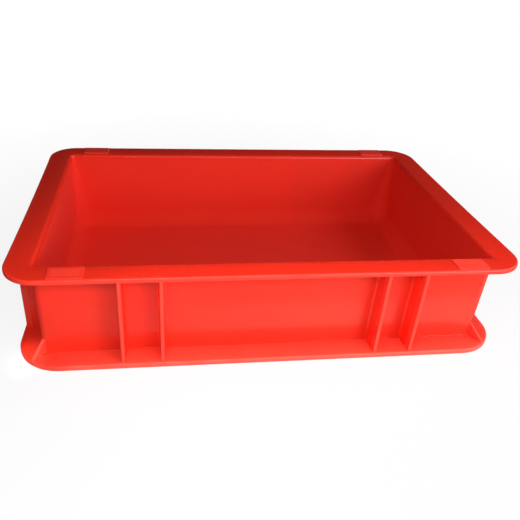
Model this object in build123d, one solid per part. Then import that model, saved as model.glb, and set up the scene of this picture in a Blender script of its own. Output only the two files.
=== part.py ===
from build123d import *
import os
from math import cos, hypot, radians, sin, sqrt

# A flanged stacking box, moulded in one piece of glossy plastic.
# The moulding is divided into its named regions, which meet face to face and never overlap.
# Millimetres. The origin is the middle of the underside, X runs along the length and the front faces -Y.

# Overall size
box_length = 503.0
box_width = 335.0
rim_height = 104.0

# Walls, measured where they pass under the rim
flange_overhang = 23.5
wall_thickness = 3.0
wall_corner_radius = 8.0
wall_taper = 1.0

# Rim flange round the opening
rim_thickness = 4.6
rim_corner_radius = 33.0
rim_edge_round = 1.5
rim_under_chamfer = 0.7
opening_round = 3.5

# Base flange that the box stands on
base_thickness = 5.4
base_corner_radius = 44.5
base_edge_round = 1.2
base_under_chamfer = 0.6

# Floor and the cove that turns it up into the walls
floor_thickness = 3.0
floor_clearance = 1.5
cove_radius = 20.0
cove_corner_margin = 0.5

# Upright ribs between the two flanges
rib_thickness = 3.5
rib_flare = 0.35
rib_root_chamfer = 0.9
rib_edge_round = 0.8
rib_setback = 1.4
side_rib_gap = 81.1
side_rib_pitch = 38.1
end_rib_gap = 45.0

# Gussets that brace the four wall corners on the base flange
gusset_thickness = 2.6
gusset_height = 15.2
gusset_toe = 1.4
gusset_setback = 2.0
gusset_angle = 55.0

# Stacking pads on the rim, and the pockets under the base that drop over them
pad_length = 32.5
pad_width = 19.0
pad_height = 1.0
pad_corner_radius = 2.0
pad_edge_chamfer = 0.4
pad_end_gap = 41.75
pad_edge_gap = 2.5
pocket_clearance = 1.0
pocket_relief = 0.5

# Outer faces of the walls, and the upright axes of their rounded corners
wall_half_length = box_length / 2 - flange_overhang
wall_half_width = box_width / 2 - flange_overhang
corner_axis_x = wall_half_length - wall_corner_radius
corner_axis_y = wall_half_width - wall_corner_radius

# Inner faces of the walls, at the opening and at the top of the cove
inner_half_length = wall_half_length - wall_thickness
inner_half_width = wall_half_width - wall_thickness
inner_corner_radius = wall_corner_radius - wall_thickness
foot_half_length = inner_half_length - wall_taper
foot_half_width = inner_half_width - wall_taper
foot_corner_radius = cove_radius + cove_corner_margin

# Levels
rim_underside = rim_height - rim_thickness
floor_top = floor_clearance + floor_thickness
cove_top = floor_top + cove_radius

# Planes that part the corners from the straight walls, where the cove's corner begins
corner_plane_x = foot_half_length - foot_corner_radius
corner_plane_y = foot_half_width - foot_corner_radius

# Middles of the pads, and of the pockets below them
pad_place = box_length / 2 - pad_end_gap - pad_length / 2
pad_line = box_width / 2 - pad_edge_gap - pad_width / 2

# Middles of the ribs, set in from the outer faces of the walls round the corner
outer_rib = wall_half_length - side_rib_gap
inner_rib = outer_rib - side_rib_pitch
side_rib_places = (-outer_rib, -inner_rib, inner_rib, outer_rib)
end_rib = wall_half_width - end_rib_gap
end_rib_places = (-end_rib, end_rib)

sides = {"front": -1, "rear": 1}
ends = {"left": -1, "right": 1}
upward = (0, 0, 1)


def rounded_block(half_length, half_width, radius, bottom, top):
    """A block with rounded upright corners, centred on the origin."""
    outline = RectangleRounded(2 * half_length, 2 * half_width, radius)
    return extrude(Pos(0, 0, bottom) * outline, top - bottom)


def flat_face(solid, which):
    """The lowest (0) or the highest (-1) level face of a solid."""
    return solid.faces().filter_by(Axis.Z).sort_by(Axis.Z)[which]


def rim_ring():
    """The whole rim: a flat frame whose opening edge rolls down into the walls."""
    plate = rounded_block(box_length / 2, box_width / 2, rim_corner_radius, rim_underside, rim_height)
    opening = rounded_block(inner_half_length, inner_half_width, inner_corner_radius, rim_underside, rim_height)
    ring = plate - opening
    ring = ring.fillet(rim_edge_round, flat_face(ring, -1).outer_wire().edges())
    ring = ring.chamfer(rim_under_chamfer, None, flat_face(ring, 0).outer_wire().edges())
    return ring.fillet(opening_round, flat_face(ring, -1).inner_wires()[0].edges())


def base_ring():
    """The whole base flange, with the pockets that take the pads of the box below."""
    plate = rounded_block(box_length / 2, box_width / 2, base_corner_radius, 0, base_thickness)
    plate = plate.fillet(base_edge_round, flat_face(plate, -1).outer_wire().edges())
    plate = plate.chamfer(base_under_chamfer, None, flat_face(plate, 0).outer_wire().edges())
    ring = plate - rounded_block(wall_half_length, wall_half_width, wall_corner_radius, 0, base_thickness)
    pocket_outline = RectangleRounded(
        pad_length + 2 * pocket_clearance,
        pad_width + 2 * pocket_clearance,
        pad_corner_radius + pocket_clearance,
    )
    pocket = extrude(pocket_outline, pad_height + pocket_relief)
    for side in sides.values():
        for end in ends.values():
            ring -= Pos(end * pad_place, side * pad_line, 0) * pocket
    return ring


def wall_ring():
    """The four walls from the cove up to the rim: straight outside, drawn in a little towards the floor inside."""
    outside = rounded_block(wall_half_length, wall_half_width, wall_corner_radius, cove_top, rim_underside)
    foot = Pos(0, 0, cove_top) * RectangleRounded(2 * foot_half_length, 2 * foot_half_width, foot_corner_radius)
    mouth = Pos(0, 0, rim_underside) * RectangleRounded(
        2 * inner_half_length, 2 * inner_half_width, inner_corner_radius
    )
    return outside - loft([foot, mouth], ruled=True)


def coved_block(growth):
    """The space above the floor, with the cove round its foot, grown all round by a skin."""
    block = rounded_block(
        foot_half_length + growth,
        foot_half_width + growth,
        foot_corner_radius + growth,
        floor_top - growth,
        rim_height,
    )
    return block.fillet(cove_radius + growth, flat_face(block, 0).edges())


def floor_tray():
    """Floor, cove and the skirt of the walls. Under the cove the moulding is cored to one skin thickness."""
    outside = rounded_block(wall_half_length, wall_half_width, wall_corner_radius, 0, cove_top)
    skirt_inside = rounded_block(inner_half_length, inner_half_width, inner_corner_radius, 0, cove_top)
    skirt = outside - skirt_inside
    skin = (skirt_inside & coved_block(floor_thickness)) - coved_block(0)
    return skirt + skin


def mitred_piece(ring, side, end):
    """One strip of a flange ring, parted from its neighbours on the diagonals of the wall corners."""
    reach = box_length
    if side:
        near = (corner_axis_x, side * corner_axis_y)
        far = (corner_axis_x + reach, side * (corner_axis_y + reach))
        outline = Polygon(near, far, (-far[0], far[1]), (-near[0], near[1]), align=None)
    else:
        near = (end * corner_axis_x, corner_axis_y)
        far = (end * (corner_axis_x + reach), corner_axis_y + reach)
        outline = Polygon(near, far, (far[0], -far[1]), (near[0], -near[1]), align=None)
    return ring & extrude(outline, rim_height, dir=upward)


def straight_piece(ring, side, end):
    """One straight stretch of a wall ring, between its two corners."""
    if side:
        zone = Pos(0, side * box_width / 2, 0) * Box(2 * corner_plane_x, box_width, 2 * rim_height)
        zone -= Box(box_length, 2 * corner_plane_y, 2 * rim_height)
    else:
        zone = Pos(end * box_length / 2, 0, 0) * Box(box_length, 2 * corner_plane_y, 2 * rim_height)
        zone -= Box(2 * corner_plane_x, box_width, 2 * rim_height)
    return ring & zone


def corner_piece(ring, side, end):
    """One corner of a wall ring."""
    zone = Box(box_length, box_width, 2 * rim_height)
    centre = (end * (corner_plane_x + box_length / 2), side * (corner_plane_y + box_width / 2), 0)
    return ring & (Pos(*centre) * zone)


def rib(depth):
    """An upright rib that stands out along -Y from a wall on Y = 0, thicker at its root."""
    tip = rib_thickness / 2
    root = tip + rib_flare
    half = [
        (root + rib_root_chamfer, 0),
        (root, -rib_root_chamfer),
        (tip, -depth),
    ]
    outline = Polygon(*half, *[(-x, y) for x, y in reversed(half)], align=None)
    outline = fillet(outline.vertices().sort_by(Axis.Y)[:2], rib_edge_round)
    return extrude(Pos(0, 0, base_thickness) * outline, rim_underside - base_thickness, dir=upward)


def gusset():
    """A triangular web at the corner at +X +Y, from the wall down to the flange's edge."""
    offset_x = corner_axis_x - (box_length / 2 - base_corner_radius)
    offset_y = corner_axis_y - (box_width / 2 - base_corner_radius)
    turn = radians(gusset_angle)
    along = offset_x * cos(turn) + offset_y * sin(turn)
    edge = -along + sqrt(along**2 - hypot(offset_x, offset_y) ** 2 + base_corner_radius**2)
    toe = edge - gusset_setback
    profile = Polygon(
        (0, 0),
        (toe, 0),
        (toe, gusset_toe),
        (wall_corner_radius, gusset_height),
        (0, gusset_height),
        align=None,
    )
    web = extrude(Plane.XZ * profile, gusset_thickness / 2, both=True)
    web = Pos(corner_axis_x, corner_axis_y, base_thickness) * Rot(0, 0, gusset_angle) * web
    return web - rounded_block(wall_half_length, wall_half_width, wall_corner_radius, 0, rim_height)


def stacking_pad():
    """A low flat pad on the rim, for the corner at +X +Y."""
    outline = RectangleRounded(pad_length, pad_width, pad_corner_radius)
    pad = extrude(Pos(pad_place, pad_line, rim_height) * outline, pad_height)
    return pad.chamfer(pad_edge_chamfer, None, flat_face(pad, -1).edges())


def at_corner(solid, side, end):
    """A piece made for the +X +Y corner, mirrored to another corner."""
    if end < 0:
        solid = mirror(solid, Plane.YZ)
    if side < 0:
        solid = mirror(solid, Plane.XZ)
    return solid


def box_nodes():
    """Every region of the moulding, by name."""
    rim = rim_ring()
    base = base_ring()
    walls = wall_ring()
    tray = floor_tray()
    web = gusset()
    pad = stacking_pad()
    upright = rib(flange_overhang - rib_setback)
    corners = [(side, end) for side in sides.values() for end in ends.values()]
    nodes = {"floor_panel": tray & Box(2 * corner_plane_x, 2 * corner_plane_y, 2 * rim_height)}
    for name, side in sides.items():
        nodes[f"{name}_rim"] = mitred_piece(rim, side, 0)
        nodes[f"{name}_base"] = mitred_piece(base, side, 0)
        nodes[f"{name}_wall"] = straight_piece(walls, side, 0)
        nodes[f"{name}_cove"] = straight_piece(tray, side, 0)
        turn = 0 if side < 0 else 180
        for number, place in enumerate(side_rib_places, 1):
            turned = Rot(0, 0, turn) * upright
            nodes[f"{name}_rib_{number}"] = Pos(place, side * wall_half_width, 0) * turned
    for name, end in ends.items():
        nodes[f"{name}_rim"] = mitred_piece(rim, 0, end)
        nodes[f"{name}_base"] = mitred_piece(base, 0, end)
        nodes[f"{name}_wall"] = straight_piece(walls, 0, end)
        nodes[f"{name}_cove"] = straight_piece(tray, 0, end)
        for number, place in enumerate(end_rib_places, 1):
            turned = Rot(0, 0, end * 90) * upright
            nodes[f"{name}_rib_{number}"] = Pos(end * wall_half_length, place, 0) * turned
    for side_name, side in sides.items():
        for end_name, end in ends.items():
            nodes[f"{side_name}_{end_name}_gusset"] = at_corner(web, side, end)
            nodes[f"{side_name}_{end_name}_pad"] = at_corner(pad, side, end)
    nodes["wall_corners"] = Compound([corner_piece(walls, *corner).solid() for corner in corners])
    nodes["cove_corners"] = Compound([corner_piece(tray, *corner).solid() for corner in corners])
    return nodes


os.makedirs("parts", exist_ok=True)
for node_name, shape in box_nodes().items():
    export_step(shape, f"parts/{node_name}.step")
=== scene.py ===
from math import cos, exp, pi, radians, sin, sqrt

import bmesh
import bpy
from mathutils import Matrix, Vector


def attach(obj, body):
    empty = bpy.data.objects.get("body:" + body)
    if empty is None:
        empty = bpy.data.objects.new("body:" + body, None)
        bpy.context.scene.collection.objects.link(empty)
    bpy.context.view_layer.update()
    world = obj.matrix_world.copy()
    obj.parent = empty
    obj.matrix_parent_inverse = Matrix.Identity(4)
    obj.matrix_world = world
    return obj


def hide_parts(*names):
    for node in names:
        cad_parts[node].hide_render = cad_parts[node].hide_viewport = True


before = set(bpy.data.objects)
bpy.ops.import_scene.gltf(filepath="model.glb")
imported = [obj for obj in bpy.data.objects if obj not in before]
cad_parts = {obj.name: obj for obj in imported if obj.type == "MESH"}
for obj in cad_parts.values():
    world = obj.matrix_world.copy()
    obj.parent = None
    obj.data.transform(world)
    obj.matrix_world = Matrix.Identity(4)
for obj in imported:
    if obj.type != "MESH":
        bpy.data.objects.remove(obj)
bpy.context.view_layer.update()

# Floor tray: the flat floor, the cove that turns it up into the walls, and the skirt outside the cove.
# Glossy red plastic about 3 mm thick, injected through a gate under the middle of the floor.
# Plans are (half length, half width, corner radius) in millimetres, and a loft joins plan to plan.
millimetre = 0.001
rim_outside = (251.5, 167.5, 33.0)
rim_height = 104.0
wall_outside = (228.0, 144.0, 8.0)
wall_lean = 1.7
floor_edge = (204.0, 120.0, 0.5)
floor_top = 4.5
floor_underside = 1.5
floor_shares = (0.0, 0.2, 0.4, 0.6, 0.8, 0.93, 1.0)
underside_shares = (0.93, 0.8, 0.6, 0.4, 0.2, 0.03)
cove_radius = 20.0
cove_top = floor_top + cove_radius
skin_radius = cove_radius + floor_top - floor_underside
skin_turn = 0.92
skin_steps = 8
skirt_levels = (cove_top, 20.0, 15.0, 10.0, 5.0, 0.0)
skirt_inside = (225.0, 141.0, 5.0)
skirt_inside_levels = (0.5, 4.0, 8.0, 10.9)
skirt_chamfer = 0.5
# The outside of the skirt is painted a little paler, a painted sheen like the walls'.
skirt_painted_sheen = 0.5
skirt_foot_tint = 0.6
groove_plan = (224.7, 140.7, 8.0)
groove_height = 11.5
gate_plan = (7.0, 7.0, 7.0)
gate_depth = 0.9
gate_dish = ((0.0, 0.0), (-0.5, 0.25), (-0.7, gate_depth))
stub_plan = (1.9, 1.9, 1.9)
stub_profile = ((0.6, gate_depth), (0.0, 0.6), (-0.1, 0.15), (-0.5, 0.05))
stub_touch = 0.4
end_draw = 0.8
base_draw = 0.5
side_draw = 0.4
floor_sag = 0.5
corner_steps = 14
side_steps = 104
end_steps = 62
flat_angle = radians(38)


def settled(x, y, z):
    """Where a point of the straight drawing, in millimetres, lies on the cooled moulding, in metres.
    The ends and sides have drawn in a little, and the middle of the floor sags."""
    half_length, half_width = rim_outside[:2]
    rise = z / rim_height
    along = 1 - (x / half_length) ** 2
    across = 1 - (y / half_width) ** 2
    inward_x = (base_draw + end_draw * rise) * across * x / half_length
    inward_y = side_draw * rise * along * y / half_width
    sag = 0.0
    if z < cove_top:
        bow_x = max(0.0, 1 - (x / floor_edge[0]) ** 2)
        bow_y = max(0.0, 1 - (y / floor_edge[1]) ** 2)
        sag = floor_sag * bow_x * bow_y
    return Vector((x - inward_x, y - inward_y, z - sag)) * millimetre


def grown(plan, growth):
    """A plan moved outwards all round."""
    return tuple(size + growth for size in plan)


def lean(height):
    """How far the walls lean out at a height, against half way up."""
    return wall_lean * (height / rim_height - 0.5)


def wall_plan(height):
    """The outside of the walls at a height."""
    return grown(wall_outside, lean(height))


def between(first, second, share):
    """A plan part of the way from one plan to another."""
    return tuple(a + (b - a) * share for a, b in zip(first, second))


def outline(plan, height, steps=(side_steps, end_steps)):
    """A level line round a plan: its four straight sides from the front one on, each with its corner."""
    half_length, half_width, radius = plan
    points = []
    for turn in range(4):
        half_run, reach = half_length - radius, half_width
        if turn % 2:
            half_run, reach = half_width - radius, half_length
        count = steps[turn % 2]
        line = [((2 * step / count - 1) * half_run, -reach) for step in range(count + 1)]
        for step in range(1, corner_steps):
            angle = pi / 2 * step / corner_steps
            line.append((half_run + radius * sin(angle), radius - reach - radius * cos(angle)))
        for x, y in line:
            for _ in range(turn):
                x, y = -y, x
            points.append((x, y, height))
    return points


def quarter(steps):
    """Angles of a quarter turn, from the first step after its start to its end."""
    return [pi / 2 * step / steps for step in range(1, steps + 1)]


def loft(name, lines, ring=False):
    """A closed mesh through pairs of a level line and its share of paling, part edge wear and part
    painted sheen. A ring joins its last line to its first. Any other loft is closed by a face at each
    end."""
    shape = bmesh.new()
    edge_tint_share = shape.verts.layers.float.new("edge_tint_share")
    rows = []
    for points, tint_share in lines:
        row = [shape.verts.new(settled(*point)) for point in points]
        for vertex in row:
            vertex[edge_tint_share] = tint_share
        rows.append(row)
    count = len(rows[0])
    pairs = list(zip(rows, rows[1:]))
    if ring:
        pairs.append((rows[-1], rows[0]))
    for near, far in pairs:
        for index in range(count):
            following = (index + 1) % count
            shape.faces.new((near[index], near[following], far[following], far[index]))
    if not ring:
        for row in (rows[0], rows[-1]):
            middle = shape.verts.new(sum((vertex.co for vertex in row), Vector()) / count)
            middle[edge_tint_share] = row[0][edge_tint_share]
            for index in range(count):
                shape.faces.new((row[index], row[(index + 1) % count], middle))
    bmesh.ops.recalc_face_normals(shape, faces=shape.faces)
    mesh = bpy.data.meshes.new(name)
    shape.to_mesh(mesh)
    shape.free()
    piece = bpy.data.objects.new(name, mesh)
    bpy.context.scene.collection.objects.link(piece)
    return piece


def finished(piece, material, slot, *nodes):
    """Shades a piece smooth with its flat faces kept flat, gives it its material and body, and hides the
    CAD nodes that it stands for.
    """
    piece.data.shade_smooth()
    piece.data.set_sharp_from_angle(angle=flat_angle)
    flat = piece.modifiers.new("flat faces", "WEIGHTED_NORMAL")
    flat.keep_sharp = True
    piece.data.materials.clear()
    piece.data.materials.append(material)
    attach(piece, "root")
    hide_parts(*nodes)


def feed(tree, socket, value):
    """Links a node's socket to another one, or sets it to a plain value."""
    if isinstance(value, bpy.types.NodeSocket):
        tree.links.new(value, socket)
    else:
        socket.default_value = value


def add(tree, kind, *ordered, **named):
    """A new node. Ordered values go to its sockets in turn, named ones to its settings or its sockets."""
    made = tree.nodes.new("ShaderNode" + kind)
    values = list(enumerate(ordered))
    for name, value in named.items():
        if hasattr(made, name):
            setattr(made, name, value)
        else:
            values.append((name, value))
    for key, value in values:
        feed(tree, made.inputs[key], value)
    return made


def sums(tree, operation, *values):
    """The result of one sum on numbers or sockets."""
    return add(tree, "Math", *values, operation=operation).outputs[0]


def ranged(tree, value, start, end, low, high):
    """A value taken from one range to another, and kept inside it."""
    return add(tree, "MapRange", value, start, end, low, high).outputs[0]


def noise(tree, where, scale, detail, roughness=0.5):
    """A cloudy value that swings about a half."""
    return add(tree, "TexNoise", where, Scale=scale, Detail=detail, Roughness=roughness).outputs[0]


def surface_point(tree):
    """The point of the surface, in metres in the CAD frame."""
    return add(tree, "TexCoord").outputs["Object"]


def tinted(tree, share, first, second):
    """One colour laid over another by a share."""
    made = add(tree, "Mix", data_type="RGBA")
    for index, value in ((0, share), (6, first), (7, second)):
        feed(tree, made.inputs[index], value)
    return made.outputs[2]


def effect(name, inputs, outputs):
    """An empty shader node group with named sockets. Gives its tree, what goes in and what comes out."""
    tree = bpy.data.node_groups.new(name, "ShaderNodeTree")
    for socket, kind in inputs:
        tree.interface.new_socket(socket, in_out="INPUT", socket_type="NodeSocket" + kind)
    for socket, kind in outputs:
        tree.interface.new_socket(socket, in_out="OUTPUT", socket_type="NodeSocket" + kind)
    entry = tree.nodes.new("NodeGroupInput")
    leaving = tree.nodes.new("NodeGroupOutput")
    return tree, entry.outputs, leaving.inputs


def place(tree, group, **named):
    """An effect placed in a material with its own values."""
    made = tree.nodes.new("ShaderNodeGroup")
    made.node_tree = group
    for name, value in named.items():
        feed(tree, made.inputs[name], value)
    return made.outputs


def flow_effect():
    """Pigment that lies a little unevenly: soft clouds, and faint streaks up the walls from the flow."""
    streak_stretch = (26.0, 26.0, 3.0)
    streak_share = 0.45
    cloud_scale = 6.5
    balance = 0.5 * (1 + streak_share)
    sockets = [("Pigment", "Color"), ("Amount", "Float")]
    tree, given, result = effect("pigment flow", sockets, [("Colour", "Color")])
    here = surface_point(tree)
    drawn_up = add(tree, "Mapping", here, Scale=streak_stretch).outputs[0]
    streaks = noise(tree, drawn_up, 1.0, detail=3.0, roughness=0.55)
    clouds = noise(tree, here, cloud_scale, detail=2.0)
    both = sums(tree, "MULTIPLY_ADD", streaks, streak_share, clouds)
    swing = sums(tree, "MULTIPLY", sums(tree, "SUBTRACT", both, balance), given["Amount"])
    bright = sums(tree, "ADD", swing, 1.0)
    colour = add(tree, "VectorMath", given["Pigment"], Scale=bright, operation="SCALE").outputs[0]
    tree.links.new(colour, result["Colour"])
    return tree


def skin_effect():
    """The moulded skin: long waves left by cooling, fine orange peel, and gloss that comes and goes.
    The inside, where the faces look to the middle of the box, is duller by the core's coarser finish."""
    middle = (0.0, 0.0, 0.05)
    wave_scale = 17.0
    peel_scale = 420.0
    dull_scale = 11.0
    dull_swing = 0.16
    tree, given, result = effect(
        "moulded skin",
        [("Gloss", "Float"), ("Core", "Float"), ("Waves", "Float"), ("Peel", "Float")],
        [("Roughness", "Float"), ("Height", "Float")],
    )
    here = surface_point(tree)
    facing = add(tree, "TexCoord").outputs["Normal"]
    from_middle = add(tree, "VectorMath", here, middle, operation="SUBTRACT").outputs[0]
    outward = add(tree, "VectorMath", from_middle, facing, operation="DOT_PRODUCT").outputs["Value"]
    inside = sums(tree, "LESS_THAN", outward, 0.0)
    waves = noise(tree, here, wave_scale, detail=1.0, roughness=0.4)
    peel = noise(tree, here, peel_scale, detail=2.0)
    height = sums(tree, "MULTIPLY", waves, given["Waves"])
    height = sums(tree, "MULTIPLY_ADD", peel, given["Peel"], height)
    dull = noise(tree, here, dull_scale, detail=4.0, roughness=0.6)
    rough = sums(tree, "MULTIPLY_ADD", sums(tree, "SUBTRACT", dull, 0.5), dull_swing, given["Gloss"])
    rough = sums(tree, "MULTIPLY_ADD", inside, given["Core"], rough)
    tree.links.new(rough, result["Roughness"])
    tree.links.new(height, result["Height"])
    return tree


def rubbing_effect():
    """Hairline marks from goods and other boxes sliding past, in two slants, gathered in patches."""
    slants = (((0.12, 0.05, 0.38), 1500.0), ((-0.2, 0.1, -1.05), 1100.0))
    along = 9.0
    hairline_band = (0.66, 0.74)
    patch_scale = 14.0
    patch_band = (0.46, 0.7)
    tree, given, result = effect("rubbing", [("Amount", "Float")], [("Marks", "Float")])
    here = surface_point(tree)
    hairlines = []
    for tilt, across in slants:
        slanted = add(tree, "Mapping", here, Rotation=tilt, Scale=(along, across, across)).outputs[0]
        threads = noise(tree, slanted, 1.0, detail=1.0)
        hairlines.append(ranged(tree, threads, *hairline_band, 0.0, 1.0))
    patches = noise(tree, here, patch_scale, detail=2.0)
    gathered = ranged(tree, patches, *patch_band, 0.0, 1.0)
    either = sums(tree, "MAXIMUM", *hairlines)
    marks = sums(tree, "MULTIPLY", sums(tree, "MULTIPLY", either, gathered), given["Amount"])
    tree.links.new(marks, result["Marks"])
    return tree


def edge_tint_effect():
    """Edges and faces paled by a share, part as wear from hands and stacking and part as painted sheen
    and highlight, broken up so that no edge is paled evenly.
    """
    wear_scale = 38.0
    wear_band = (0.3, 0.7)
    least_wear = 0.7
    tree, given, result = effect("edge tint", [("Amount", "Float")], [("Paled", "Float")])
    touched = add(tree, "Attribute", attribute_name="edge_tint_share").outputs["Fac"]
    edge_tint = noise(tree, surface_point(tree), wear_scale, detail=4.0, roughness=0.65)
    broken = ranged(tree, edge_tint, *wear_band, least_wear, 1.0)
    paled = sums(tree, "MULTIPLY", sums(tree, "MULTIPLY", touched, broken), given["Amount"])
    tree.links.new(paled, result["Paled"])
    return tree


pigment_flow = flow_effect()
moulded_skin = skin_effect()
rubbing = rubbing_effect()
edge_tint_group = edge_tint_effect()
red_pigment = (0.8, 0.0225, 0.0085, 1.0)
rubbed_red = (0.84, 0.08, 0.05, 1.0)
# The paled red is part edge wear and part painted sheen and highlight.
worn_and_sheen_red = (0.88, 0.055, 0.03, 1.0)
flow_amount = 0.1
rubbed_dulling = 0.35
paled_dulling = 0.3
skin_relief = 0.00025
plastic_ior = 1.5


def red_plastic(
    name, gloss, marks, edges, core=0.0, waves=1.0, peel=0.05, pigment=red_pigment, edge_tint=worn_and_sheen_red
):
    """Glossy moulded plastic with the flow, skin, rubbing, and the edge wear and painted sheen of one
    piece.
    """
    material = bpy.data.materials.new(name)
    material.use_nodes = True
    tree = material.node_tree
    shader = tree.nodes["Principled BSDF"]
    colour = place(tree, pigment_flow, Pigment=pigment, Amount=flow_amount)["Colour"]
    skin = place(tree, moulded_skin, Gloss=gloss, Core=core, Waves=waves, Peel=peel)
    rubbed = place(tree, rubbing, Amount=marks)["Marks"]
    paled = place(tree, edge_tint_group, Amount=edges)["Paled"]
    colour = tinted(tree, paled, colour, edge_tint)
    colour = tinted(tree, rubbed, colour, rubbed_red)
    tree.links.new(colour, shader.inputs["Base Color"])
    rough = sums(tree, "MULTIPLY_ADD", rubbed, rubbed_dulling, skin["Roughness"])
    rough = sums(tree, "MULTIPLY_ADD", paled, paled_dulling, rough)
    tree.links.new(rough, shader.inputs["Roughness"])
    relief = add(tree, "Bump", Strength=1.0, Distance=skin_relief, Height=skin["Height"]).outputs[0]
    tree.links.new(relief, shader.inputs["Normal"])
    shader.inputs["IOR"].default_value = plastic_ior
    return material


# The lines run out over the floor, up the cove, down the skirt, and back underneath to the gate.
floor_lines = []
for share in floor_shares:
    floor_lines.append((outline(between(gate_plan, floor_edge, share), floor_top), 0.0))
for angle in quarter(12):
    plan = grown(floor_edge, cove_radius * sin(angle))
    floor_lines.append((outline(plan, floor_top + cove_radius * (1 - cos(angle))), 0.0))
for height in skirt_levels:
    floor_lines.append((outline(wall_plan(height), height), skirt_painted_sheen))
floor_lines.append((outline(grown(skirt_inside, skirt_chamfer), 0.0), skirt_foot_tint))
for height in skirt_inside_levels:
    floor_lines.append((outline(skirt_inside, height), 0.0))
floor_lines.append((outline(groove_plan, groove_height), 0.0))
for step in range(skin_steps + 1):
    angle = skin_turn * (1 - step / skin_steps)
    plan = grown(floor_edge, skin_radius * sin(angle))
    floor_lines.append((outline(plan, floor_underside + skin_radius * (1 - cos(angle))), 0.0))
for share in underside_shares:
    floor_lines.append((outline(between(gate_plan, floor_edge, share), floor_underside), 0.0))
for growth, rise in gate_dish:
    floor_lines.append((outline(grown(gate_plan, growth), floor_underside + rise), 0.0))
for growth, rise in stub_profile:
    floor_lines.append((outline(grown(stub_plan, growth), floor_underside + rise), stub_touch))
finished(
    loft("floor_tray", floor_lines),
    red_plastic("red plastic, floor", gloss=0.14, marks=0.05, edges=0.5, core=0.84),
    "moulded_shell",
    "floor_panel",
    "front_cove",
    "rear_cove",
    "left_cove",
    "right_cove",
    "cove_corners",
)

# Walls: one upright band round the box, leaning out a little towards the rim so that it left the mould.
# The same 3 mm plastic, with a faint hollow inside behind each rib, where the thicker plastic shrank.
wall_top = 98.2
wall_inside_top = (225.0, 141.0, 5.0)
wall_inside_foot = grown(floor_edge, cove_radius)
# The outside of the walls is painted a little paler, a painted sheen on the gloss.
wall_painted_sheen = 0.4
wall_levels = (cove_top, 27.0, 31.0, 38.0, 48.0, 58.0, 68.0, 78.0, 86.0, 92.0, 96.0, wall_top)
rim_underside = 99.4
side_rib_places = (-146.9, -108.8, 108.8, 146.9)
end_rib_places = (-99.0, 99.0)
sink_depth = 0.16
sink_reach = 4.0
wall_margin = 0.01


def hollow(along, rib_places):
    """Depth of the hollows behind a row of ribs at a point along the wall, from 0 to 1."""
    return sum(exp(-(((along - rib_place) / sink_reach) ** 2)) for rib_place in rib_places)


def inside_line(height):
    """The inside of the walls at a height, with the hollows behind the ribs."""
    share = (height - cove_top) / (rim_underside - cove_top)
    plan = between(wall_inside_foot, wall_inside_top, share)
    fade = sin(pi * (height - cove_top) / (wall_top - cove_top)) ** 0.5
    points = []
    for x, y, z in outline(plan, height):
        if abs(y) > plan[1] - wall_margin:
            y += sink_depth * fade * hollow(x, side_rib_places) * (1 if y > 0 else -1)
        if abs(x) > plan[0] - wall_margin:
            x += sink_depth * fade * hollow(y, end_rib_places) * (1 if x > 0 else -1)
        points.append((x, y, z))
    return points


wall_lines = [(inside_line(height), 0.0) for height in wall_levels]
wall_lines += [(outline(wall_plan(height), height), wall_painted_sheen) for height in reversed(wall_levels)]
finished(
    loft("walls", wall_lines, ring=True),
    red_plastic("red plastic, walls", gloss=0.12, marks=0.04, edges=0.55, core=0.8),
    "moulded_shell",
    "front_wall",
    "rear_wall",
    "left_wall",
    "right_wall",
    "wall_corners",
)

# Base flange: the flat foot turned out round the bottom, which the box stands on.
# Moulded with the walls through a small fillet. Its top and edges are paled, part by rubbing on the
# ground and part as painted sheen and highlight, less so at its left end.
# Four pockets underneath drop over the pads of a box below.
base_outside = (251.5, 167.5, 44.5)
base_top = 5.4
base_fillet = 0.5
base_round = 1.2
base_under_round = 0.6
base_parting = 2.7
base_shares = (0.05, 0.3, 0.55, 0.8, 0.95, 1.0)
base_under_shares = (0.05, 0.5, 1.0)
base_wear_and_sheen = 0.4
base_lip_tint = 0.7
base_edge_tint = (0.72, 0.66, 0.72)
parting_line = 0.08
parting_half = 0.1
parting_slope = 0.15
pale_fade_start = -246.0
pale_fade_full = -190.0
least_pale = 0.1
pad_places = [(x, y) for x in (-193.5, 193.5) for y in (-155.5, 155.5)]
pocket_plan = (17.25, 10.5, 3.0)
pocket_depth = 1.5
pocket_profile = ((0.4, -1.0), (0.4, 0.0), (0.1, 0.3), (0.0, 1.2), (-0.3, pocket_depth))
pocket_steps = (10, 6)
pocket_touch = 0.2
# The foot's red is painted a little brighter as a painted sheen, and its paler edge colour is part wear
# and part painted highlight.
foot_red_with_sheen = (0.86, 0.026, 0.011, 1.0)
foot_wear_and_highlight = (0.93, 0.152, 0.096, 1.0)


def land_tint(share, middle, lip):
    """How much a flange's flat is paled, part wear and part painted sheen: as its middle nearly all the
    way, then more at its lip.
    """
    return middle + (lip - middle) * share**12


def flange_edge(outside, top, underside, top_round, under_round, parting, tint_share, steps):
    """A flange's edge from its top to its underside, with a fine raised line where the mould parts.
    Its tint share is how much the upper round, the edge itself and the lower round are paled, part by
    wear and part as a painted highlight."""
    lines = []
    for angle in quarter(steps[0]):
        plan = grown(outside, -parting_line - top_round * (1 - sin(angle)))
        lines.append((outline(plan, top - top_round * (1 - cos(angle))), tint_share[0]))
    profile = (
        (-parting_line, parting + parting_half + parting_slope),
        (0.0, parting + parting_half),
        (0.0, parting - parting_half),
        (-parting_line, parting - parting_half - parting_slope),
        (-parting_line, underside + under_round),
    )
    for growth, height in profile:
        lines.append((outline(grown(outside, growth), height), tint_share[1]))
    for angle in quarter(steps[1]):
        plan = grown(outside, -parting_line - under_round * (1 - cos(angle)))
        lines.append((outline(plan, underside + under_round * (1 - sin(angle))), tint_share[2]))
    return lines


def limited(value):
    """A value kept from 0 to 1."""
    return max(0.0, min(1.0, value))


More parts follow.
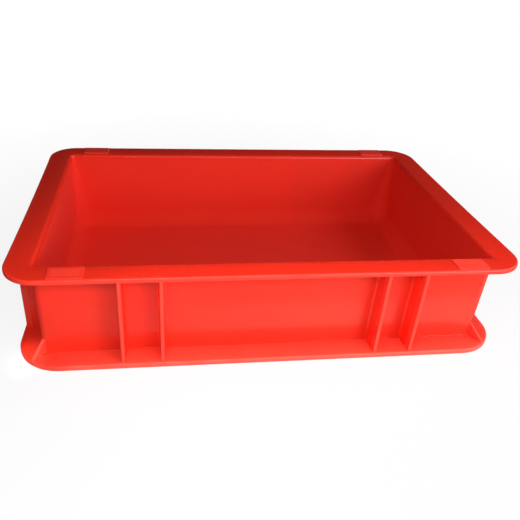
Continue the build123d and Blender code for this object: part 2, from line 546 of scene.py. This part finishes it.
base_inside = wall_plan(base_top + base_fillet)
base_fillet_foot = grown(base_inside, base_fillet)
base_lip = grown(base_outside, -base_round)
base_under_lip = grown(base_outside, -parting_line - base_under_round)
base_lines = [(outline(base_inside, base_top + base_fillet), 0.0)]
for angle in quarter(6):
    plan = grown(base_inside, base_fillet * (1 - cos(angle)))
    base_lines.append((outline(plan, base_top + base_fillet * (1 - sin(angle))), 0.0))
for share in base_shares:
    tint_share = land_tint(share, base_wear_and_sheen, base_lip_tint)
    base_lines.append((outline(between(base_fillet_foot, base_lip, share), base_top), tint_share))
base_lines += flange_edge(
    base_outside,
    top=base_top,
    underside=0.0,
    top_round=base_round,
    under_round=base_under_round,
    parting=base_parting,
    tint_share=base_edge_tint,
    steps=(6, 3),
)
for share in base_under_shares:
    base_lines.append((outline(between(base_under_lip, wall_plan(0.0), share), 0.0), base_wear_and_sheen))
base_flange = loft("base_flange", base_lines, ring=True)
edge_tint_share = base_flange.data.attributes["edge_tint_share"].data
# The paling, part wear and part painted sheen, fades out towards the base's left end.
for vertex in base_flange.data.vertices:
    unfaded = limited((vertex.co.x / millimetre - pale_fade_start) / (pale_fade_full - pale_fade_start))
    edge_tint_share[vertex.index].value *= least_pale + (1 - least_pale) * unfaded
for x, y in pad_places:
    pocket_lines = []
    for growth, height in pocket_profile:
        line = outline(grown(pocket_plan, growth), height, pocket_steps)
        pocket_lines.append(([(x + a, y + b, c) for a, b, c in line], pocket_touch))
    pocket = loft("pocket", pocket_lines)
    cut = base_flange.modifiers.new("pocket", "BOOLEAN")
    cut.operation = "DIFFERENCE"
    cut.solver = "EXACT"
    cut.object = pocket
    bpy.context.view_layer.update()
    whole = base_flange.evaluated_get(bpy.context.evaluated_depsgraph_get())
    cut_mesh = bpy.data.meshes.new_from_object(whole)
    base_flange.modifiers.clear()
    base_flange.data = cut_mesh
    bpy.data.objects.remove(pocket)
finished(
    base_flange,
    red_plastic("red plastic, base", gloss=0.22, marks=0.06, edges=0.8, pigment=foot_red_with_sheen, edge_tint=foot_wear_and_highlight),
    "moulded_shell",
    "front_base",
    "rear_base",
    "left_base",
    "right_base",
)

# Rim flange: the flat rim turned out round the opening, which hands grip and the next box stands on.
# Moulded with the walls, falling a little to the opening, with its edge paled, part by hands and stacking
# and part as a painted highlight.
opening_round = 3.5
rim_crown = 1.1
crown_reach = 14.0
crown_insets = (4.5, 6.0, 8.0, 10.0, 12.0)
rim_round = 1.5
rim_under_round = 0.7
rim_parting = 101.3
rim_fillet = 0.6
rim_shares = (0.0, 0.3, 0.6, 0.92, 1.0)
rim_under_shares = (0.04, 0.35, 0.7, 0.96)
rim_tint = 0.1
rim_lip_tint = 0.7
rim_edge_tint = (1.0, 0.9, 0.7)
opening_tint = 0.35


def crown_height(inset):
    """Height of the rim's top at a distance from the opening: it falls a little towards the opening."""
    return rim_height - rim_crown * max(0.0, 1 - inset / crown_reach) ** 2


roll_top = crown_height(opening_round)
crown_end = grown(wall_inside_top, crown_reach)
rim_lip = grown(rim_outside, -rim_round)
rim_under_lip = grown(rim_outside, -parting_line - rim_under_round)
rim_root = wall_plan(rim_underside)
rim_lines = [(inside_line(wall_top), 0.0), (outline(wall_inside_top, rim_underside), 0.0)]
rim_lines.append((outline(wall_inside_top, roll_top - opening_round), 0.0))
for angle in quarter(8):
    plan = grown(wall_inside_top, opening_round * (1 - cos(angle)))
    height = roll_top - opening_round * (1 - sin(angle))
    rim_lines.append((outline(plan, height), opening_tint * sin(angle) ** 2))
for inset in crown_insets:
    rim_lines.append((outline(grown(wall_inside_top, inset), crown_height(inset)), rim_tint))
for share in rim_shares:
    tint_share = land_tint(share, rim_tint, rim_lip_tint)
    rim_lines.append((outline(between(crown_end, rim_lip, share), rim_height), tint_share))
rim_lines += flange_edge(
    rim_outside,
    top=rim_height,
    underside=rim_underside,
    top_round=rim_round,
    under_round=rim_under_round,
    parting=rim_parting,
    tint_share=rim_edge_tint,
    steps=(7, 4),
)
for share in rim_under_shares:
    plan = between(rim_under_lip, grown(rim_root, rim_fillet), share)
    rim_lines.append((outline(plan, rim_underside), 0.0))
for angle in [0.0, *quarter(6)]:
    plan = grown(rim_root, rim_fillet * (1 - sin(angle)))
    rim_lines.append((outline(plan, rim_underside - rim_fillet * (1 - cos(angle))), 0.0))
rim_lines.append((outline(wall_plan(wall_top), wall_top), 0.0))
finished(
    loft("rim_flange", rim_lines, ring=True),
    red_plastic("red plastic, rim", gloss=0.22, marks=0.04, edges=0.5, core=0.1),
    "moulded_shell",
    "front_rim",
    "rear_rim",
    "left_rim",
    "right_rim",
)

# Ribs: upright webs that tie the two flanges together, four on each long side and two on each end.
# Moulded with the walls, thicker at the root, with a small fillet wherever they meet a wall or a flange.
# Their red is painted a little brighter, a painted glow for the light that passes through their thin
# webs.
rib_tip = 1.75
rib_root = 2.1
rib_root_fillet = 2.0
rib_depth = 22.1
rib_step = 13.4
rib_tip_tint_band = 2.2
rib_tip_tint_fade = 1.2
rib_red_lit_through = (0.93, 0.0285, 0.0115, 1.0)
web_edge_round = 0.8
web_round_share = 0.4
wall_bite = 0.6
flange_bite = 0.4
flange_fillet = 0.5
fillet_gaps = [flange_fillet * share for share in (0.0, 0.06, 0.2, 0.42, 0.7, 1.0)]


def web_section(depth, tip, root, root_fillet, growth, height):
    """Level section of a web on a wall along X, standing out along -Y.
    It is filleted at its root and rounded at its tip."""
    start = lean(height)
    run = depth - start
    fillet = min(root_fillet, web_round_share * run)
    edge = min(web_edge_round, web_round_share * run)
    half = [(root + fillet + growth, wall_bite - start)]
    for angle in [0.0, *quarter(6)]:
        half.append((root + growth + fillet * (1 - sin(angle)), -start - fillet * (1 - cos(angle))))
    middle = 0.5 * (start + fillet + depth - edge)
    half.append((0.5 * (root + tip) + growth, -middle))
    for angle in [0.0, *quarter(5)]:
        half.append((tip + growth - edge * (1 - cos(angle)), -depth + edge * (1 - sin(angle))))
    return half + [(-x, y) for x, y in reversed(half)]


def flange_growth(gap):
    """How far a web spreads in its fillet at a gap from the flange that it meets."""
    if gap >= flange_fillet:
        return 0.0
    return flange_fillet - sqrt(flange_fillet**2 - (flange_fillet - gap) ** 2)


def stood(section, spot, turn, height):
    """A web's section turned about the vertical, set on its spot and lifted to a height."""
    x0, y0 = spot
    return [
        (x0 + x * cos(turn) - y * sin(turn), y0 + x * sin(turn) + y * cos(turn), height)
        for x, y in section
    ]


rib_plastic = red_plastic("red plastic, ribs", gloss=0.22, marks=0.25, edges=0.8, pigment=rib_red_lit_through)
rib_levels = [(base_top - flange_bite, 0.0)]
rib_levels += [(base_top + gap, gap) for gap in fillet_gaps]
rib_levels += [(base_top + rib_step * step, flange_fillet) for step in range(1, 7)]
rib_levels += [(rim_underside - gap, gap) for gap in reversed(fillet_gaps)]
rib_levels += [(rim_underside + flange_bite, 0.0)]
rib_spots = []
for number, place_x in enumerate(side_rib_places, 1):
    rib_spots.append((f"front_rib_{number}", (place_x, -wall_outside[1]), 0.0))
    rib_spots.append((f"rear_rib_{number}", (place_x, wall_outside[1]), pi))
for number, place_y in enumerate(end_rib_places, 1):
    rib_spots.append((f"left_rib_{number}", (-wall_outside[0], place_y), -pi / 2))
    rib_spots.append((f"right_rib_{number}", (wall_outside[0], place_y), pi / 2))
for node, spot, turn in rib_spots:
    rib_lines = []
    for height, gap in rib_levels:
        section = web_section(rib_depth, rib_tip, rib_root, rib_root_fillet, flange_growth(gap), height)
        rib_lines.append((stood(section, spot, turn, height), 0.0))
    rib = loft(node.replace("rib", "web"), rib_lines)
    # The rib tips are paled, part by wear and part as a painted highlight.
    edge_tint_share = rib.data.attributes["edge_tint_share"].data
    for vertex in rib.data.vertices:
        point = vertex.co / millimetre
        reach = max(abs(point.x) - wall_outside[0], abs(point.y) - wall_outside[1])
        edge_tint_share[vertex.index].value = limited((reach - rib_depth + rib_tip_tint_band) / rib_tip_tint_fade)
    finished(rib, rib_plastic, "moulded_shell", node)

# Gussets: triangular webs on the base flange, one bracing each corner of the walls.
# Moulded with the flange, thinner than the ribs, sloping from the wall to a low toe near its edge.
gusset_half = 1.3
gusset_depth = 16.3
gusset_height = 15.2
gusset_toe = 1.4
gusset_fillet = 0.6
gusset_step = 1.5
gusset_top_rises = (14.8, 15.1)
gusset_aim = radians(35)
gusset_tint = 0.4
# The gussets are paled a little all over, and their sloping top edges are painted pale as a painted
# highlight.
gusset_highlight_band = 1.2
gusset_painted_highlight = (0.93, 0.095, 0.056, 1.0)
corner_axis = (wall_outside[0] - wall_outside[2], wall_outside[1] - wall_outside[2])


def gusset_reach(rise):
    """How far a gusset stands out from the wall at a rise above the flange."""
    return gusset_depth * min(1.0, (gusset_height - rise) / (gusset_height - gusset_toe))


gusset_rises = [-flange_bite, *fillet_gaps, gusset_toe]
gusset_rises += [gusset_toe + gusset_step * step for step in range(1, 9)]
gusset_rises += gusset_top_rises
gusset_plastic = red_plastic("red plastic, gussets", gloss=0.22, marks=0.1, edges=0.8, edge_tint=gusset_painted_highlight)
for side_name, side in (("front", -1), ("rear", 1)):
    for end_name, end in (("left", -1), ("right", 1)):
        outward = Vector((end * sin(gusset_aim), side * cos(gusset_aim)))
        turn = -Vector((0, -1)).angle_signed(outward, 0.0)
        spot = Vector((end * corner_axis[0], side * corner_axis[1])) + wall_outside[2] * outward
        gusset_lines = []
        for rise in gusset_rises:
            height = base_top + rise
            spread = flange_growth(max(0.0, rise))
            section = web_section(
                gusset_reach(rise), gusset_half, gusset_half, gusset_fillet, spread, height
            )
            gusset_lines.append((stood(section, spot, turn, height), gusset_tint))
        brace = loft(f"{side_name}_{end_name}_brace", gusset_lines)
        edge_tint_share = brace.data.attributes["edge_tint_share"].data
        # A painted highlight along each gusset's sloping top edge.
        for vertex in brace.data.vertices:
            point = vertex.co / millimetre
            edge = gusset_reach(point.z - base_top)
            if (point.xy - spot).dot(outward) > edge - gusset_highlight_band:
                edge_tint_share[vertex.index].value = 1.0
        finished(brace, gusset_plastic, "moulded_shell", f"{side_name}_{end_name}_gusset")

# Stacking pads: four low pads on the rim near its corners, which locate the pockets of the box above.
# Moulded with the rim, with a fine matt grain whose sheen is painted as a paler, brighter red than the
# gloss round it. The painted sheen fades out towards the pad's edges, which are plain.
pad_plan = (16.25, 9.5, 2.0)
pad_top = 105.0
pad_root = 1.0
pad_round = 0.45
least_round = 0.3
sheen_fade = 5.0
fade_steps = 6
pad_steps = (16, 10)
pad_red_with_sheen = (0.97, 0.044, 0.023, 1.0)
plain_pad = (0.82, 0.026, 0.011, 1.0)
pad_plastic = red_plastic(
    "red plastic, pads",
    gloss=0.36,
    marks=0.2,
    edges=1.0,
    waves=0.2,
    peel=0.16,
    pigment=pad_red_with_sheen,
    edge_tint=plain_pad,
)
pad_profile = [(0.0, height, 1.0) for height in (rim_height - pad_root, rim_height, pad_top - pad_round)]
for angle in quarter(5):
    pad_profile.append((-pad_round * (1 - cos(angle)), pad_top - pad_round * (1 - sin(angle)), 1.0))
for step in range(1, fade_steps + 1):
    plain = 0.5 + 0.5 * cos(pi * step / fade_steps)
    pad_profile.append((-pad_round - sheen_fade * step / fade_steps, pad_top, plain))
for x, y in pad_places:
    side_name = "front" if y < 0 else "rear"
    end_name = "left" if x < 0 else "right"
    pad_lines = []
    for growth, height, plain in pad_profile:
        half_length, half_width, radius = grown(pad_plan, growth)
        line = outline((half_length, half_width, max(least_round, radius)), height, pad_steps)
        pad_lines.append(([(x + a, y + b, c) for a, b, c in line], plain))
    pad = loft(f"{side_name}_{end_name}_stacking_pad", pad_lines)
    finished(pad, pad_plastic, "stacking_pad", f"{side_name}_{end_name}_pad")

# Studio: a plain pale floor and soft lamps, the strongest in front to the right, weak ones near the box.
# The floor is white to the camera and keeps the box's shadow. The glossy walls mirror a pale pool of it.
white = (1.0, 1.0, 1.0, 1.0)
pool_tint = (1.0, 0.95, 0.76, 1.0)
floor_grey = (0.8, 0.8, 0.8, 1.0)
floor_reach = 8.0
shadow_near = 0.3
shadow_far = 0.7
shadow_white = 0.88
pool_left = -0.3
near_pool_right = 0.15
far_pool_right = 0.3
far_pool_low = 0.06
far_pool_high = 0.34
far_pool_edge = -0.228
near_pool_edge = -0.21
behind_start = -0.17
behind_full = -0.15
pool_behind = 0.2
room_strength = 0.095
mirrored_room_strength = 0.02
box_middle = (0.0, -0.05, 0.06)

floor_mesh = bpy.data.meshes.new("studio_floor")
floor_corners = [(-floor_reach, -floor_reach, 0), (floor_reach, -floor_reach, 0)]
floor_corners += [(floor_reach, floor_reach, 0), (-floor_reach, floor_reach, 0)]
floor_mesh.from_pydata(floor_corners, [], [(0, 1, 2, 3)])
studio_floor = bpy.data.objects.new("studio_floor", floor_mesh)
bpy.context.scene.collection.objects.link(studio_floor)

floor_paint = bpy.data.materials.new("studio floor paint")
floor_paint.use_nodes = True
tree = floor_paint.node_tree
tree.nodes.remove(tree.nodes["Principled BSDF"])
rays = add(tree, "LightPath").outputs
watched = sums(tree, "MAXIMUM", rays["Is Camera Ray"], rays["Is Glossy Ray"])
watched = sums(tree, "MAXIMUM", watched, rays["Is Transmission Ray"])
pale = add(tree, "BsdfDiffuse", floor_grey).outputs[0]
here = surface_point(tree)
spot = add(tree, "SeparateXYZ", here).outputs
# The pool that gloss mirrors lies in front of the box, brighter close to it and to the right.
nearness = ranged(tree, spot["Y"], far_pool_edge, near_pool_edge, 0.0, 1.0)
near_pool = ranged(tree, spot["X"], pool_left, near_pool_right, 0.0, 1.0)
far_pool = ranged(tree, spot["X"], pool_left, far_pool_right, far_pool_low, far_pool_high)
in_front = sums(tree, "MULTIPLY_ADD", nearness, sums(tree, "SUBTRACT", near_pool, far_pool), far_pool)
behind = ranged(tree, spot["Y"], behind_start, behind_full, 1.0, pool_behind)
pool = sums(tree, "MULTIPLY", in_front, behind)
strength = sums(tree, "MAXIMUM", rays["Is Camera Ray"], pool)
tint = tinted(tree, rays["Is Camera Ray"], pool_tint, white)
glow = add(tree, "Emission", tint, strength).outputs[0]
away = add(tree, "VectorMath", here, operation="LENGTH").outputs["Value"]
glow_share = ranged(tree, away, shadow_near, shadow_far, shadow_white, 1.0)
shown = add(tree, "MixShader", glow_share, pale, glow).outputs[0]
lit = add(tree, "MixShader", watched, pale, shown).outputs[0]
tree.links.new(lit, tree.nodes["Material Output"].inputs["Surface"])
floor_mesh.materials.append(floor_paint)

studio = bpy.data.worlds.new("studio")
studio.use_nodes = True
bpy.context.scene.world = studio
tree = studio.node_tree
rays = add(tree, "LightPath").outputs
room_light = ranged(tree, rays["Is Glossy Ray"], 0.0, 1.0, room_strength, mirrored_room_strength)
room = add(tree, "Background", white, room_light).outputs[0]
backdrop = add(tree, "Background", white, 1.0).outputs[0]
seen = sums(tree, "MAXIMUM", rays["Is Camera Ray"], rays["Is Transmission Ray"])
mixed = add(tree, "MixShader", seen, room, backdrop).outputs[0]
tree.links.new(mixed, tree.nodes["World Output"].inputs["Surface"])


def soft_lamp(name, stand, aim, size, power, spread=180, mirrored=True):
    """A soft lamp that faces a point, with its light kept to a beam where a spread in degrees is given.
    A lamp that isn't mirrored lights the box without showing in its gloss."""
    lamp = bpy.data.lights.new(name, "AREA")
    lamp.shape = "RECTANGLE"
    lamp.size, lamp.size_y = size
    lamp.energy = power
    lamp.spread = radians(spread)
    holder = bpy.data.objects.new(name, lamp)
    holder.location = stand
    holder.rotation_euler = (Vector(aim) - Vector(stand)).to_track_quat("-Z", "Y").to_euler()
    holder.visible_camera = False
    holder.visible_glossy = mirrored
    bpy.context.scene.collection.objects.link(holder)


soft_lamp("window lamp", (0.76, -0.81, 0.28), box_middle, (0.5, 0.4), 3.35)
soft_lamp("low lamp", (0.77, -0.82, 0.213), box_middle, (0.5, 0.22), 1.15)
soft_lamp("front lamp", (0.501, -0.992, 0.326), box_middle, (0.4, 0.2), 2.5)
soft_lamp("side lamp", (0.82, 0.05, 0.76), box_middle, (0.4, 0.4), 2.8)
soft_lamp("left lamp", (-0.863, -0.548, 0.525), box_middle, (0.35, 0.35), 0.6)
soft_lamp("right lamp", (1.04, 0.1, 0.345), (-0.2, 0.0, 0.07), (0.3, 0.12), 0.45)
soft_lamp("ceiling lamp", (0.0, -0.3, 0.5), (0.0, -0.3, 0.0), (0.3, 0.2), 0.2)
soft_lamp("back lamp", (0.1, 0.95, 0.055), (0.0, 0.17, 0.045), (0.7, 0.06), 2.2)
soft_lamp("near lamp", (0.0, -0.42, 0.33), (0.0, -0.16, 0.1), (0.4, 0.1), 0.82, mirrored=False)
soft_lamp(
    "near left lamp", (-0.175, -0.4, 0.28), (-0.175, -0.15, 0.06), (0.16, 0.1), 0.42, mirrored=False
)
soft_lamp(
    "rim lamp", (0.06, -0.21, 0.35), (0.06, -0.158, 0.104), (0.44, 0.04), 0.085, 60, mirrored=False
)
soft_lamp(
    "corner lamp", (-0.248, -0.195, 0.1), (-0.242, -0.152, 0.005), (0.01, 0.01), 0.004, 30, mirrored=False
)

# Camera: fitted to the photograph's edges, looking down at the front from a little left of the middle.
# Its axes are unit vectors in the CAD frame, and a small shift frames the box as in the photograph.
camera_place = (-0.1063, -0.5926, 0.3792)
camera_right = (0.9903, -0.1276, 0.0546)
camera_down = (-0.0201, -0.5216, -0.8529)
camera_ahead = (0.1373, 0.8436, -0.5192)
camera_data = bpy.data.cameras.new("camera")
camera_data.sensor_width = 36.0
camera_data.lens = 38.86
camera_data.shift_x = 0.0358
camera_data.shift_y = 0.0078
camera = bpy.data.objects.new("camera", camera_data)
axes = Matrix((camera_right, -Vector(camera_down), -Vector(camera_ahead))).transposed()
camera.matrix_world = Matrix.Translation(camera_place) @ axes.to_4x4()
bpy.context.scene.collection.objects.link(camera)
bpy.context.scene.camera = camera
bpy.context.scene.view_settings.view_transform = "Standard"
